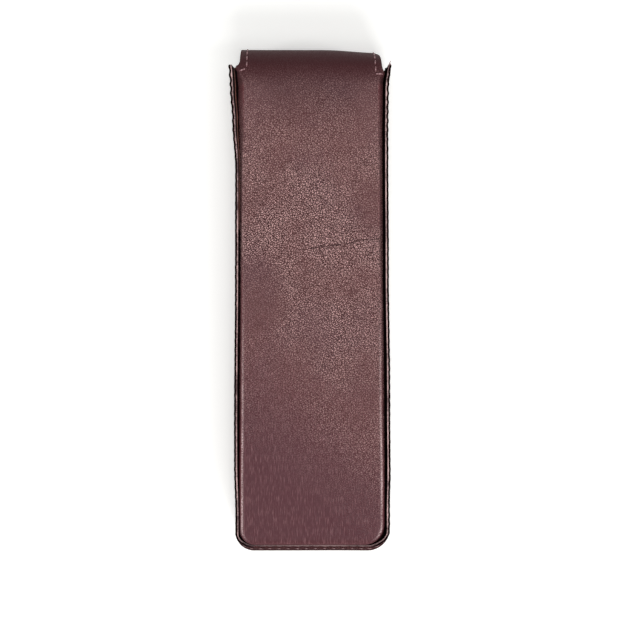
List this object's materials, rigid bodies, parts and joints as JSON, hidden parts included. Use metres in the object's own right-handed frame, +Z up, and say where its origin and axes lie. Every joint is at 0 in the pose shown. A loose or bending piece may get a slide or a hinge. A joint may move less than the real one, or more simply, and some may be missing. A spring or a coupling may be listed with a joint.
{
  "type": "double pen case",
  "caption": "Slim leather case for a pair of pens, with a stiff moulded flap that folds over the mouth from the back and lies inside the raised edge of the side wall.",
  "frame": {"origin": "under the middle of the case, on the flat back that it lies on", "axes": "+Y towards the hinged end, +Z up through the flap, +X to the right"},
  "size_m": [0.0546, 0.1663, 0.025],
  "materials": {
    "leather": "grained burgundy leather with a soft sheen",
    "lining": "brown suede lining",
    "board": "grey stiffening board",
    "thread": "waxed rose sewing thread",
    "magnet": "nickel-plated magnet"
  },
  "bodies": {
    "case": {"back_leather": "leather", "back_board": "board", "back_lining": "lining", "back_seam_thread": "thread", "side_wall": "leather", "side_wall_lining": "lining", "side_seam_thread": "thread", "pocket_front": "leather", "pocket_board": "board", "pocket_lining": "lining", "pocket_magnet_left": "magnet", "pocket_magnet_right": "magnet", "pen_divider": "lining", "hinge_lining_back": "lining", "hinge_thread_left_back": "thread", "hinge_thread_right_back": "thread"},
    "spine": {"hinge_leather": "leather", "hinge_lining": "lining", "hinge_thread_left": "thread", "hinge_thread_right": "thread"},
    "flap": {"flap_leather": "leather", "flap_board": "board", "flap_lining": "lining", "flap_magnet_left": "magnet", "flap_magnet_right": "magnet", "hinge_lining_flap": "lining", "hinge_thread_left_flap": "thread", "hinge_thread_right_flap": "thread"}
  },
  "joints": [
    {"name": "back_fold", "type": "hinge", "parent": "case", "child": "spine", "pos_m": [0, 0.07884, 0.00366], "axis": [-1, 0, 0], "range_deg": [0, 90]},
    {"name": "flap_fold", "type": "hinge", "parent": "spine", "child": "flap", "pos_m": [0, 0.07884, 0.02134], "axis": [-1, 0, 0], "range_deg": [0, 90]}
  ],
  "couplings": [
    {"joint": "flap_fold", "follows": "back_fold", "ratio": 1}
  ]
}
